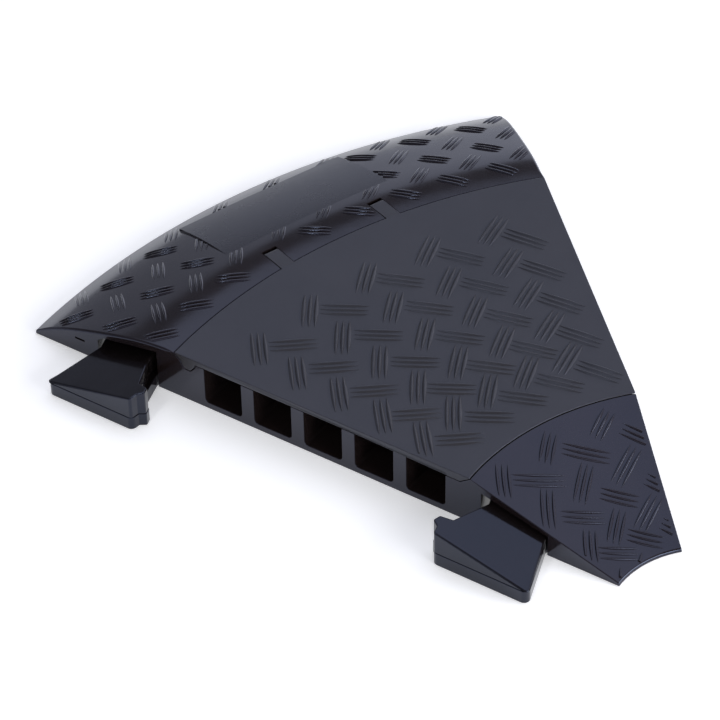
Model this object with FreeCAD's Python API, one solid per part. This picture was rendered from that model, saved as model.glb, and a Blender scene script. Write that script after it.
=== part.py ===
import FreeCAD, Part
import math
import os

# Cable protector ramp: a 45 degree curve module with five cable channels under a hinged lid.
# All lengths are in millimetres and all angles in degrees.
#
# The frame: +Z is up and the underside lies on z = 0. The module bends about an upright line, the
# bend centre, at x = 0 and y = -MID_RADIUS. The bend's middle plane is x = 0, and +Y points to the
# outside of the bend. The near end, which carries the connector keys, is at -X.
# A radius is measured from the bend centre.

# Whole module
BEND_ANGLE = 45.0
MID_RADIUS = 350.0
OUTER_EDGE_R = 621.0
INNER_EDGE_R = 79.0
LID_TOP_Z = 46.0

# Cable channels
CHANNEL_COUNT = 5
CHANNEL_WIDTH = 35.0
CHANNEL_HEIGHT = 35.0
DIVIDER_WIDTH = 11.75
DECK_MID_R = 342.0
FLOOR_THICKNESS = 6.0
ROOT_R = 3.5

# Lid and its seat. A cross-section's points are (radius, z).
LID_GAP = 0.3
LID_INNER_R = 210.0
LID_OUTER_R = 480.6
LID_CORNER_R = 1.0
LID_INNER_FOOT = [(218.4, 38.6), (229.5, 38.6)]
LID_BEAD = [(462.1, 38.0), (466.3, 32.7), (472.1, 33.0), (475.4, 40.2)]
LID_BEARING = 0.5
BEAD_GROOVE = [(475.9, 39.9), (472.5, 32.6), (466.0, 32.2), (461.5, 37.8)]
INNER_SEAT = (217.9, 38.3)

# Ramps
OUTER_SEAM = (481.7, 45.4)
OUTER_RAMP_CURVE = [(497.0, 44.4), (515.0, 41.9), (550.0, 32.8), (585.0, 21.6), (606.0, 12.4), (619.8, 4.2)]
INNER_SEAM = (208.9, 45.3)
INNER_LIP = (80.4, 3.4)
EDGE_HEIGHT = 2.2

# Hinge: the axis is a straight line along X, under the outer ramp
HINGE_Y = 149.5
HINGE_Z = 38.8
TAB_X = 52.7
TAB_WIDTH = 12.8
TAB_SIDE_GAP = 0.6
TAB_UNDERSIDE_Z = 39.5
TAB_ROOT_Y = 120.0
TAB_ROOT_TOP_Y = 127.5
BARREL_R = 5.2
BARREL_GAP = 0.8
NOTCH_REACH = 6.6
NOTCH_FLOOR_Z = 38.2
ROD_R = 2.5
ROD_RUNNING_GAP = 0.05
ROD_GRIP = 11.0

# Label field on the outer ramp: a plain panel with straight sides, curved only across the ramp.
# Its points are (y, z).
LABEL_HALF_WIDTH = 81.0
LABEL_INNER = (175.6, 38.8)
LABEL_MIDDLE = (212.0, 29.7)
LABEL_OUTER = (249.2, 16.3)
LABEL_DEPTH = 8.0

# Connector keys. A key is drawn by its distance from KEY_MID_R, along the end face, and by its
# distance out of that face. The outer and the inner key are mirror images about KEY_MID_R.
KEY_MID_R = 349.0
KEY_PLATE_THICKNESS = 12.0
KEY_STEP = 0.5
KEY_HEAD = 52.0
KEY_ROOT = 40.0
KEY_NECK_PLATE = 151.0
KEY_NECK_WEDGE = 156.5
KEY_THIN_SIDE = 206.0
KEY_THIN_FLARE = 15.5
KEY_THIN_Z = 12.6
KEY_SLOPE = 0.25
KEY_CORNER = 5.0
KEY_HOOK_ROOT = (143.7, 31.0)
KEY_HOOK_NOSE = (132.4, 37.5)
KEY_HOOK_END = (136.8, 43.5)
KEY_BACK_LID_SIDE = 144.5

# Sockets for the keys, under the skin of both ramps and open to the underside. They are drawn like
# the keys, and a ceiling's points are (distance from KEY_MID_R, z).
SOCKET_LID_SIDE = 149.5
SOCKET_THIN_SIDE = 208.0
SOCKET_GAP = 1.2
SOCKET_FLARE = (142.4, 28.3)
SOCKET_BACK_LID_SIDE = 135.2
SOCKET_HOOK_SIDE = 130.7
SOCKET_HOOK_TO = 45.2
SOCKET_PAST_FACE = 5.0
SOCKET_BELOW = -5.0
OUTER_CEILING = [(126.0, 36.5), (148.0, 38.0), (202.0, 27.4), (212.0, 19.8), (226.0, 15.6)]
INNER_CEILING = [(126.0, 35.3), (150.0, 35.3), (208.0, 19.5), (226.0, 14.0)]

# A small vent slit in each end face of the outer ramp
SLIT_FROM_R = 570.5
SLIT_TO_R = 580.0
SLIT_Z = 14.0
SLIT_HEIGHT = 2.0
SLIT_DEPTH = 4.0

# Derived sizes
HALF_BEND = BEND_ANGLE / 2
LID_UNDERSIDE_Z = FLOOR_THICKNESS + CHANNEL_HEIGHT
LEDGE_Z = LID_UNDERSIDE_Z - LID_GAP
ROOT_TOP_Z = FLOOR_THICKNESS + ROOT_R
CHANNEL_PITCH = CHANNEL_WIDTH + DIVIDER_WIDTH
DECK_WIDTH = CHANNEL_COUNT * CHANNEL_WIDTH + (CHANNEL_COUNT - 1) * DIVIDER_WIDTH
DECK_INNER_R = DECK_MID_R - DECK_WIDTH / 2
DECK_OUTER_R = DECK_MID_R + DECK_WIDTH / 2
BEND_CENTRE = FreeCAD.Vector(0, -MID_RADIUS, 0)
UP = FreeCAD.Vector(0, 0, 1)
ALONG_X = FreeCAD.Vector(1, 0, 0)
NEAR, FAR = -1, 1
OUTER, INNER = 1, -1


# ---------------------------------------------------------------- drawing helpers

def polar(radius, angle, z=0.0):
    """A point by its radius and its angle from the middle plane, positive towards +X."""
    turn = math.radians(angle)
    return FreeCAD.Vector(radius * math.sin(turn), radius * math.cos(turn) - MID_RADIUS, z)


def section_point(radius, z):
    """A point of a cross-section, drawn in the plane of the near end."""
    return polar(radius, -HALF_BEND, z)


def end_point(side, bank):
    """How a key or a socket is placed: (distance from KEY_MID_R, distance out of the end face, z)."""
    sine = math.sin(math.radians(HALF_BEND))
    cosine = math.cos(math.radians(HALF_BEND))

    def place(across, out, z=0.0):
        radius = KEY_MID_R + bank * across
        x = radius * sine + out * cosine
        y = radius * cosine - out * sine - MID_RADIUS
        return FreeCAD.Vector(side * x, y, z)

    return place


def outline(place, start, *moves):
    """A face. Each move is a list: one point is a line to it, two an arc, more a smooth curve."""
    first = place(*start)
    here = first
    edges = []
    for move in moves:
        points = [place(*point) for point in move]
        if len(points) == 1:
            edges.append(Part.LineSegment(here, points[0]).toShape())
        elif len(points) == 2:
            edges.append(Part.Arc(here, points[0], points[1]).toShape())
        else:
            curve = Part.BSplineCurve()
            curve.interpolate([here] + points)
            edges.append(curve.toShape())
        here = points[-1]
    edges.append(Part.LineSegment(here, first).toShape())
    return Part.Face(Part.Wire(edges))


def corner(centre, radius, angle):
    """A point on a round corner."""
    turn = math.radians(angle)
    return (centre[0] + radius * math.cos(turn), centre[1] + radius * math.sin(turn))


def swept(section):
    """A cross-section carried round the whole bend, from the near end to the far end."""
    return section.revolve(BEND_CENTRE, -UP, BEND_ANGLE)


def raised(plan, z_from, z_to):
    """A plan outline, drawn on z = 0, as an upright prism."""
    prism = plan.extrude(UP * (z_to - z_from))
    prism.translate(UP * z_from)
    return prism


def joined(*solids):
    """Touching solids as one clean solid."""
    whole = solids[0].fuse(list(solids[1:]))
    return whole.removeSplitter()


def rod_along_x(radius, middle_x, length):
    start = FreeCAD.Vector(middle_x - length / 2, HINGE_Y, HINGE_Z)
    return Part.makeCylinder(radius, length, start, ALONG_X)


def save(name, shape):
    assert len(shape.Solids) == 1 and shape.isValid(), name
    solid = shape.Solids[0]
    solid.exportStep("parts/" + name + ".step")
    print(name, "volume cm3", round(solid.Volume / 1000, 1))


# ---------------------------------------------------------------- channel deck

def divider_sides(number):
    inner = DECK_INNER_R + number * CHANNEL_PITCH - DIVIDER_WIDTH
    return inner, inner + DIVIDER_WIDTH


def channel_floor():
    """The floor, with a low flared root under each divider."""
    moves = [[(DECK_OUTER_R, 0)], [(DECK_OUTER_R, FLOOR_THICKNESS)]]
    for number in reversed(range(1, CHANNEL_COUNT)):
        inner, outer = divider_sides(number)
        moves += [
            [(outer + ROOT_R, FLOOR_THICKNESS)],
            [corner((outer + ROOT_R, ROOT_TOP_Z), ROOT_R, -135), (outer, ROOT_TOP_Z)],
            [(inner, ROOT_TOP_Z)],
            [corner((inner - ROOT_R, ROOT_TOP_Z), ROOT_R, -45), (inner - ROOT_R, FLOOR_THICKNESS)],
        ]
    return swept(outline(section_point, (DECK_INNER_R, 0), *moves, [(DECK_INNER_R, FLOOR_THICKNESS)]))


def divider(number):
    """One curved wall between two channels, standing on its root."""
    inner, outer = divider_sides(number)
    section = outline(
        section_point, (inner, ROOT_TOP_Z),
        [(outer, ROOT_TOP_Z)], [(outer, LEDGE_Z)], [(inner, LEDGE_Z)],
    )
    return swept(section)


# ---------------------------------------------------------------- sockets and keys

def socket_plan(place, depth, hooked):
    """A socket seen from above: straight sides that flare like the key's, and a room for its hook."""
    thin = SOCKET_THIN_SIDE
    hook = []
    if hooked:
        hook = [[(SOCKET_HOOK_SIDE, -SOCKET_FLARE[1])], [(SOCKET_HOOK_SIDE, -SOCKET_HOOK_TO)],
                [(SOCKET_BACK_LID_SIDE, -SOCKET_HOOK_TO)]]
    return outline(
        place, (SOCKET_LID_SIDE, SOCKET_PAST_FACE),
        [(SOCKET_LID_SIDE, 0)],
        [(SOCKET_FLARE[0], -SOCKET_FLARE[1])],
        *hook,
        [(SOCKET_BACK_LID_SIDE, -depth)],
        [(thin + KEY_THIN_FLARE, -depth)],
        [(thin, 0)],
        [(thin, SOCKET_PAST_FACE)],
    )


def under_section(place, points, out_from, out_to):
    """A bar along the outward direction, below the line through (across, z) points."""
    def across_section(across, z):
        return place(across, out_from, z)

    first, last = points[0], points[-1]
    section = outline(across_section, (first[0], SOCKET_BELOW), *[[point] for point in points],
                      [(last[0], SOCKET_BELOW)])
    return section.extrude(place(0, out_to) - place(0, out_from))


def socket(side, bank, depth, hooked):
    """The hollow for one end of a key, open to the underside and under a sloped ceiling."""
    place = end_point(side, bank)
    prism = raised(socket_plan(place, depth, hooked), SOCKET_BELOW, LID_TOP_Z)
    ceiling = OUTER_CEILING if bank == OUTER else INNER_CEILING
    room = under_section(place, ceiling, SOCKET_PAST_FACE + 1.0, -depth - 1.0)
    return prism.common(room)


def key_head_plan(place, neck, grow):
    """The half outside the end face, with its hook towards the lid. grow moves the outline out."""
    thin_end = KEY_THIN_SIDE + KEY_THIN_FLARE + grow
    front = KEY_HEAD + grow
    r = KEY_CORNER

    def grown(point):
        return (point[0] - grow, point[1])

    hook_end = grown(KEY_HOOK_END)
    front_lid = (hook_end[0] + r, front)
    return outline(
        place, (neck, 0),
        [grown(KEY_HOOK_ROOT)],
        [grown(KEY_HOOK_NOSE), hook_end],
        [(hook_end[0], front - r)],
        [corner((front_lid[0], front - r), r, 135), front_lid],
        [(thin_end - r, front)],
        [corner((thin_end - r, front - r), r, 45), (thin_end, front - r)],
        [(KEY_THIN_SIDE + grow, 0)],
    )


def key_root_plan(place, neck):
    """The half inside the socket: plain, and flared like the head."""
    thin_end = KEY_THIN_SIDE + KEY_THIN_FLARE * KEY_ROOT / KEY_HEAD
    lid_end = KEY_BACK_LID_SIDE
    r = KEY_CORNER
    return outline(
        place, (neck, 0),
        [(lid_end, r - KEY_ROOT)],
        [corner((lid_end + r, r - KEY_ROOT), r, -135), (lid_end + r, -KEY_ROOT)],
        [(thin_end - r, -KEY_ROOT)],
        [corner((thin_end - r, r - KEY_ROOT), r, -45), (thin_end, r - KEY_ROOT)],
        [(KEY_THIN_SIDE, 0)],
    )


def connector_key(side, bank):
    """A flat plate with a smaller wedge on it. The wedge falls away from the lid."""
    place = end_point(side, bank)
    plate_head = raised(key_head_plan(place, KEY_NECK_PLATE, KEY_STEP), 0, KEY_PLATE_THICKNESS)
    plate_root = raised(key_root_plan(place, KEY_NECK_PLATE), 0, KEY_PLATE_THICKNESS)
    wedge_head = raised(key_head_plan(place, KEY_NECK_WEDGE, 0), 0, LID_TOP_Z)
    wedge_root = raised(key_root_plan(place, KEY_NECK_WEDGE), 0, LID_TOP_Z)
    thin_side = KEY_THIN_SIDE + KEY_THIN_FLARE
    slope = [(across, KEY_THIN_Z + KEY_SLOPE * (thin_side - across)) for across in (120.0, thin_side + 10.0)]
    under_slope = under_section(place, slope, KEY_HEAD + 1.0, -KEY_ROOT - 1.0)
    wedge = wedge_head.fuse(wedge_root).common(under_slope)
    return joined(plate_head, plate_root, wedge)


def end_slit(side):
    place = end_point(side, OUTER)
    plan = outline(
        place, (SLIT_FROM_R - KEY_MID_R, 1.0),
        [(SLIT_TO_R - KEY_MID_R, 1.0)],
        [(SLIT_TO_R - KEY_MID_R, -SLIT_DEPTH)],
        [(SLIT_FROM_R - KEY_MID_R, -SLIT_DEPTH)],
    )
    return raised(plan, SLIT_Z, SLIT_Z + SLIT_HEIGHT)


def sockets(bank):
    """The near socket holds a key's root. The deeper far one takes the next module's key head."""
    near = socket(NEAR, bank, KEY_ROOT + SOCKET_GAP, hooked=False)
    far = socket(FAR, bank, KEY_HEAD + SOCKET_GAP, hooked=True)
    return [near, far]


# ---------------------------------------------------------------- ramps

def outer_ramp():
    section = outline(
        section_point, (DECK_OUTER_R, 0),
        [(OUTER_EDGE_R, 0)],
        [(OUTER_EDGE_R, EDGE_HEIGHT)],
        [(OUTER_EDGE_R - 0.35, 3.35), OUTER_RAMP_CURVE[-1]],
        list(reversed(OUTER_RAMP_CURVE[:-1])) + [OUTER_SEAM],
        *[[point] for point in BEAD_GROOVE],
        [(BEAD_GROOVE[-1][0] - LID_BEARING, LEDGE_Z)],
        [(DECK_OUTER_R, LEDGE_Z)],
        [(DECK_OUTER_R, ROOT_TOP_Z)],
        [corner((DECK_OUTER_R - ROOT_R, ROOT_TOP_Z), ROOT_R, -45), (DECK_OUTER_R - ROOT_R, FLOOR_THICKNESS)],
        [(DECK_OUTER_R, FLOOR_THICKNESS)],
    )
    ramp = swept(section)
    pocket, pad = label_field()
    ramp = ramp.cut(pocket).fuse(pad)
    for tab_x in (-TAB_X, TAB_X):
        ramp = ramp.cut(hinge_notch(tab_x))
        ramp = ramp.cut(rod_along_x(ROD_R, tab_x, TAB_WIDTH + 2 * ROD_GRIP))
    for hollow in sockets(OUTER) + [end_slit(NEAR), end_slit(FAR)]:
        ramp = ramp.cut(hollow)
    return ramp.removeSplitter()


def label_field():
    """The panel's pocket and the pad under it. Its surface is straight along X."""
    def side_point(y, z):
        return FreeCAD.Vector(-LABEL_HALF_WIDTH, y, z)

    def low(point):
        return (point[0], point[1] - LABEL_DEPTH)

    surface = [LABEL_MIDDLE, LABEL_OUTER]
    above = outline(side_point, LABEL_INNER, surface, [(LABEL_OUTER[0], LID_TOP_Z)],
                    [(LABEL_INNER[0], LID_TOP_Z)])
    below = outline(side_point, LABEL_INNER, surface, [low(LABEL_OUTER)], [low(LABEL_INNER)])
    width = ALONG_X * (2 * LABEL_HALF_WIDTH)
    return above.extrude(width), below.extrude(width)


def hinge_notch(tab_x):
    """Room for one tab: round about the hinge axis below, open above."""
    width = TAB_WIDTH + 2 * TAB_SIDE_GAP
    low_x = tab_x - width / 2
    top = LID_TOP_Z + 5.0
    around_barrel = rod_along_x(BARREL_R + BARREL_GAP, tab_x, width)
    above_barrel = Part.makeBox(width, NOTCH_REACH, top - HINGE_Z, FreeCAD.Vector(low_x, HINGE_Y, HINGE_Z))
    under_neck = Part.makeBox(
        width, HINGE_Y - TAB_ROOT_Y, top - NOTCH_FLOOR_Z, FreeCAD.Vector(low_x, TAB_ROOT_Y, NOTCH_FLOOR_Z))
    return joined(around_barrel, above_barrel, under_neck)


def inner_ramp():
    section = outline(
        section_point, (INNER_EDGE_R, 0),
        [(DECK_INNER_R, 0)],
        [(DECK_INNER_R, FLOOR_THICKNESS)],
        [(DECK_INNER_R + ROOT_R, FLOOR_THICKNESS)],
        [corner((DECK_INNER_R + ROOT_R, ROOT_TOP_Z), ROOT_R, -135), (DECK_INNER_R, ROOT_TOP_Z)],
        [(DECK_INNER_R, INNER_SEAT[1])],
        [INNER_SEAT],
        [INNER_SEAM],
        [INNER_LIP],
        [(INNER_EDGE_R + 0.3, EDGE_HEIGHT + 0.4), (INNER_EDGE_R, EDGE_HEIGHT - 0.6)],
    )
    ramp = swept(section)
    for hollow in sockets(INNER):
        ramp = ramp.cut(hollow)
    return ramp.removeSplitter()


# ---------------------------------------------------------------- lid and hinge

def cover_lid():
    r = LID_CORNER_R
    top = LID_TOP_Z
    section = outline(
        section_point, (LID_INNER_R + r, top),
        [corner((LID_INNER_R + r, top - r), r, 135), (LID_INNER_R, top - r)],
        *[[point] for point in LID_INNER_FOOT],
        [(DECK_INNER_R + LID_BEARING, LID_UNDERSIDE_Z)],
        [(LID_BEAD[0][0] - LID_BEARING, LID_UNDERSIDE_Z)],
        *[[point] for point in LID_BEAD],
        [(LID_OUTER_R, top - r)],
        [corner((LID_OUTER_R - r, top - r), r, 45), (LID_OUTER_R - r, top)],
    )
    lid = swept(section)
    for tab_x in (-TAB_X, TAB_X):
        lid = lid.fuse(hinge_tab(tab_x))
    for tab_x in (-TAB_X, TAB_X):
        lid = lid.cut(rod_along_x(ROD_R + ROD_RUNNING_GAP, tab_x, TAB_WIDTH + 2.0))
    return lid.removeSplitter()


def hinge_tab(tab_x):
    """A flat neck that ends in a barrel about the hinge axis."""
    def side_point(y, z):
        return FreeCAD.Vector(tab_x - TAB_WIDTH / 2, y, z)

    neck = outline(
        side_point, (TAB_ROOT_Y, TAB_UNDERSIDE_Z),
        [(HINGE_Y, TAB_UNDERSIDE_Z)],
        [(HINGE_Y + 0.4, HINGE_Z + BARREL_R)],
        [(TAB_ROOT_TOP_Y, LID_TOP_Z)],
        [(TAB_ROOT_Y, LID_TOP_Z)],
    )
    return joined(neck.extrude(ALONG_X * TAB_WIDTH), rod_along_x(BARREL_R, tab_x, TAB_WIDTH))


def hinge_rod(tab_x):
    return rod_along_x(ROD_R, tab_x, TAB_WIDTH + 2 * ROD_GRIP)


# ---------------------------------------------------------------- output

os.makedirs("parts", exist_ok=True)
save("outer_ramp", outer_ramp())
save("inner_ramp", inner_ramp())
save("channel_floor", channel_floor())
for number in range(1, CHANNEL_COUNT):
    save("divider_%d" % number, divider(number))
save("cover_lid", cover_lid())
save("hinge_rod_near", hinge_rod(-TAB_X))
save("hinge_rod_far", hinge_rod(TAB_X))
save("connector_key_outer", connector_key(NEAR, OUTER))
save("connector_key_inner", connector_key(NEAR, INNER))
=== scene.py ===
"""Cable protector ramp, a 45 degree curve module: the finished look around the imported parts."""

import math

import bmesh
import bpy
import numpy as np
from mathutils import Matrix, Vector


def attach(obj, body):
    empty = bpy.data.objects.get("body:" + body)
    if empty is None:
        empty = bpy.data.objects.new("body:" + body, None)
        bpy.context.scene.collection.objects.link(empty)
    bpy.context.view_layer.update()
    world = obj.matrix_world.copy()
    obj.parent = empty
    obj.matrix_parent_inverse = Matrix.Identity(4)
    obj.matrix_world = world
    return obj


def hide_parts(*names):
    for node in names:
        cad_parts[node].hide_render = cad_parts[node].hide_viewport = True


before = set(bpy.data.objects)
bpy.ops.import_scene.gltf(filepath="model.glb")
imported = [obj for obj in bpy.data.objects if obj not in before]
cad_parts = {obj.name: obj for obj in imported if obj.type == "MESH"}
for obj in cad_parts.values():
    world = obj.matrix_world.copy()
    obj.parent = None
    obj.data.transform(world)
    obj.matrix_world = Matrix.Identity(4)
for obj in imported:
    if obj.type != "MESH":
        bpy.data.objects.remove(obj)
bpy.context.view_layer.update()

# Sizes are in millimetres and angles in degrees, and every mesh is made in metres.
# A radius is measured from the bend's upright centre line, an angle from the bend's middle plane.
MM = 0.001
NEAR, FAR = -1, 1
OUTER, INNER = 1, -1

# The bend
HALF_BEND = 22.5
MID_RADIUS = 350.0
OUTER_EDGE_R = 621.0
INNER_EDGE_R = 79.0
RING_COUNT = 64
FIRST_RING = 1.1
ROUND_STEPS = 4

# How far a cutting piece reaches past what it cuts, and what a finished surface merges
PAST = 5.0
MERGE_GAP = 0.02
SLIVER_GAP = 0.01
SHARP_ANGLE = 34.0
TREAD_SHARP_ANGLE = 50.0

# Casting: channels, seats and ramps. A cross-section's corners are (radius, z, fillet).
FLOOR_Z = 6.0
LEDGE_Z = 40.7
LEDGE_STEP = 0.5
LEDGE_FILLET = 0.4
DECK_INNER_R = 231.0
CHANNEL_COUNT = 5
CHANNEL_WIDTH = 35.0
CHANNEL_PITCH = 46.75
ROOT_FILLET = 3.5
WALL_FILLET = 0.8
OUTER_RAMP_CURVE = [(481.7, 45.4), (497.0, 44.4), (515.0, 41.9), (550.0, 32.8),
                    (585.0, 21.6), (606.0, 12.4), (621.0, 3.4)]
CURVE_STEPS = 30
OUTER_LIP_FILLET = 2.2
BEAD_GROOVE = [(475.9, 39.9, 0.5), (472.5, 32.6, 1.5), (466.0, 32.2, 1.5), (461.5, 37.8, 0.5)]
INNER_RAMP_LINE = [(208.9, 45.3), (79.0, 2.93)]
INNER_SEAT = (217.9, 38.3)
INNER_SEAT_FILLET = 0.6
SEAM_FILLET = 0.5
INNER_LIP_FILLET = 2.6
UNDER_FILLET = 0.5

# End edges of the casting: how far the edge round each end face is rounded
END_ROUND = 0.45
OUTER_END_ROUND = 2.3
INNER_END_ROUND = 1.8
LIP_END_ROUND = 0.8
END_BLEND = 8.0
OUTER_LIP_Z = 3.0
INNER_LIP_Z = 1.5
OUTER_LIP_BLEND = 8.0
INNER_LIP_BLEND = 12.0

# Lid
LID_TOP_Z = 46.0
LID_INNER_R = 210.0
LID_OUTER_R = 480.6
LID_EDGE_FILLET = 0.7
LID_EDGE_DEPTH = 1.0
LID_END_ROUND = 0.6
LID_FOOT = [(218.4, 38.6, 0.4), (229.5, 38.6, 0.6), (231.5, 41.0, 0.4)]
LID_BEAD = [(461.6, 41.0, 0.3), (462.1, 38.0, 0.4), (466.3, 32.7, 1.2),
            (472.1, 33.0, 1.2), (475.4, 40.2, 0.4)]

# Hinge
HINGE_Y = 149.5
HINGE_Z = 38.8
TAB_X = 52.7
TAB_WIDTH = 12.8
TAB_SIDE_GAP = 0.6
TAB_UNDERSIDE_Z = 39.5
TAB_ROOT_Y = 120.0
TAB_ROOT_TOP_Y = 127.5
TAB_TOP_END = (149.9, 43.98)
BARREL_R = 5.2
NOTCH_R = 6.0
NOTCH_REACH = 6.6
NOTCH_FLOOR_Z = 38.2
ROD_HOLE_R = 2.55
NOTCH_STEPS = 16
BARREL_STEPS = 28

# Label panel on the outer ramp, blank. Its surface's points are (y, z).
PANEL_HALF_WIDTH = 81.0
PANEL_CURVE = [(175.6, 38.8), (212.0, 29.7), (249.2, 16.3)]
PANEL_DEPTH = 8.0
PANEL_MARGIN = 0.01
PANEL_CROWN = 0.8
PANEL_PAD = 3.0
PANEL_LOWEST_Z = 10.0
PANEL_STEPS = 20
PANEL_RINGS = 5

# Connector keys and their sockets: (distance from KEY_MID_R along the end face, distance out of it)
KEY_MID_R = 349.0
KEY_PLATE_Z = 12.0
KEY_STEP = 0.5
KEY_HEAD = 52.0
KEY_ROOT = 40.0
KEY_NECK_PLATE = 151.0
KEY_NECK_WEDGE = 156.5
KEY_THIN_SIDE = 206.0
KEY_THIN_FLARE = 15.5
KEY_THIN_Z = 12.6
KEY_SLOPE = 0.25
KEY_PLATE_CORNER = 5.0
KEY_WEDGE_CORNER = 2.6
KEY_HOOK = [(144.0, 31.2, 0.8), (134.2, 34.6, 2.2), (132.3, 41.2, 1.8), (137.4, 44.6, 1.2)]
KEY_BACK = 144.5
KEY_TOP_ROUND = 1.5
KEY_EDGE_ROUND = 0.5
KEY_LINE_DEPTH = 0.35
KEY_LINE_TOP = 0.25
KEY_LINE_END = 0.6
KEY_FRONT_STEP = 1.4
KEY_HEAD_START = -0.4
KEY_ROUND_STEPS = 5
KEY_CORNER_STEPS = 6
SOCKET_LID_SIDE = 149.5
SOCKET_THIN_SIDE = 208.0
SOCKET_GAP = 1.2
SOCKET_FLARE = (142.4, 28.3)
SOCKET_BACK = 135.2
SOCKET_HOOK_SIDE = 130.7
SOCKET_HOOK_TO = 45.2
SOCKET_PAST_FACE = 5.0
OUTER_CEILING = [(126.0, 36.5), (148.0, 38.0), (202.0, 27.4), (212.0, 19.8), (226.0, 15.6)]
INNER_CEILING = [(126.0, 35.3), (150.0, 35.3), (208.0, 19.5), (226.0, 14.0)]
SLIT_MID = (226.25, 15.0)
SLIT_SIZE = (9.5, 2.0, 4.0)

# Tread: groups of three ribs. A row is (radius, lean from the local tangent, first angle, pitch, groups,
# rib length of the first group, rib length of the last group).
RIBS_IN_GROUP = 3
LID_ROWS = [
    (427.0, 43.0, -17.4, 8.0, 5, 40.0, 40.0), (385.5, 43.0, -18.0, 8.0, 5, 40.0, 40.0),
    (344.5, 43.0, -18.0, 8.0, 5, 40.0, 40.0), (302.5, 43.0, -18.0, 8.0, 5, 40.0, 40.0),
    (262.5, 43.0, -18.5, 8.0, 5, 40.0, 40.0), (408.5, -45.0, -14.6, 8.0, 5, 40.0, 40.0),
    (367.5, -45.0, -14.6, 8.0, 5, 40.0, 40.0), (325.0, -45.0, -14.6, 8.0, 5, 40.0, 40.0),
    (283.0, -45.0, -14.6, 8.0, 5, 40.0, 40.0), (240.0, -45.0, -14.6, 8.0, 5, 40.0, 40.0),
]
OUTER_ROWS = [
    (607.0, 47.0, -18.4, 5.0, 9, 29.0, 29.0), (567.0, 47.0, -18.4, 5.0, 9, 29.0, 29.0),
    (523.5, 47.0, -18.4, 5.0, 9, 29.0, 29.0), (632.0, -45.0, -20.0, 5.0, 9, 29.0, 29.0),
    (589.5, -45.0, -21.0, 5.0, 9, 29.0, 29.0), (544.5, -45.0, -21.0, 5.0, 9, 29.0, 29.0),
    (502.0, -45.0, -21.0, 5.0, 3, 29.0, 29.0), (502.0, -45.0, -1.0, 5.0, 5, 29.0, 29.0),
]
INNER_ROWS = [
    (190.7, 41.0, -17.4, 15.0, 3, 30.0, 28.0), (153.5, 41.0, -15.2, 14.4, 3, 35.0, 38.0),
    (112.7, 41.0, -15.4, 14.4, 3, 28.0, 34.0),
    (173.5, -37.0, -10.4, 15.5, 3, 43.0, 34.0), (131.8, -37.0, -8.6, 15.2, 3, 35.0, 26.0),
    (95.0, -37.0, -8.7, 15.6, 3, 32.0, 25.0), (77.0, 35.0, -17.6, 15.5, 2, 20.0, 20.0),
]
RIB_STATIONS = 15
RIB_TRIALS = 60
RIB_SKIRT = 0.5
RIB_TIP = 0.985
SHORTEST_RIB = 3.0

# A rib's width, its rise and the distance from rib to rib in a group
OUTER_RIB = (2.9, 1.3, 4.3)
INNER_RIB = (2.6, 1.2, 4.5)
LID_RIB = (3.6, 1.25, 5.0)

# A rib's cross-section: (share of its half width, share of its rise)
CRISP_SECTION = [(-1.0, 0.0), (-0.86, 0.42), (-0.6, 0.8), (-0.3, 0.96), (0.0, 1.0),
                 (0.3, 0.96), (0.6, 0.8), (0.86, 0.42), (1.0, 0.0)]
SOFT_SECTION = [(-1.0, 0.0), (-0.78, 0.24), (-0.5, 0.68), (-0.25, 0.93), (0.0, 1.0),
                (0.25, 0.93), (0.5, 0.68), (0.78, 0.24), (1.0, 0.0)]

# Bare strips that the ribs stay out of
END_MARGIN = 3.6
OUTER_SEAM_MARGIN = 3.0
SEAM_MARGIN = 2.0
LIP_MARGIN = 2.6
PANEL_MARGIN_OUTSIDE = 1.6
TAB_SIDE_MARGIN = 2.2
TAB_TIP_MARGIN = 1.5


# ---------------------------------------------------------------- points and outlines

def polar(radius, angle, z=0.0):
    turn = math.radians(angle)
    return Vector((radius * math.sin(turn), radius * math.cos(turn) - MID_RADIUS, z))


def from_end(side, radius, out, z=0.0):
    """A point by its radius along an end face and its distance out of that face."""
    sine = math.sin(math.radians(HALF_BEND))
    cosine = math.cos(math.radians(HALF_BEND))
    return Vector((side * (radius * sine + out * cosine), radius * cosine - out * sine - MID_RADIUS, z))


def key_place(side, bank):
    def place(across, out, z=0.0):
        return from_end(side, KEY_MID_R + bank * across, out, z)
    return place


def rounded(corners, steps=4):
    """A closed outline. Each corner is (first, second, fillet), and a fillet of 0 keeps it sharp."""
    points = []
    for i, (first, second, fillet) in enumerate(corners):
        here = Vector((first, second))
        if not fillet:
            points.append(here)
            continue
        back = Vector(corners[i - 1][:2]) - here
        on = Vector(corners[(i + 1) % len(corners)][:2]) - here
        half = back.angle(on) / 2
        cut = fillet / math.tan(half)
        middle = here + (back.normalized() + on.normalized()).normalized() * (fillet / math.sin(half))
        points += arc_between(here + back.normalized() * cut, here + on.normalized() * cut, middle, steps)
    return points


def arc_between(start, end, middle, steps):
    """Points on the shorter arc about a middle point, both ends included."""
    a, b = start - middle, end - middle
    begin = math.atan2(a.y, a.x)
    turn = (math.atan2(b.y, b.x) - begin + math.pi) % (2 * math.pi) - math.pi
    radius = a.length
    angles = [begin + turn * k / steps for k in range(steps + 1)]
    return [middle + Vector((math.cos(t), math.sin(t))) * radius for t in angles]


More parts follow.
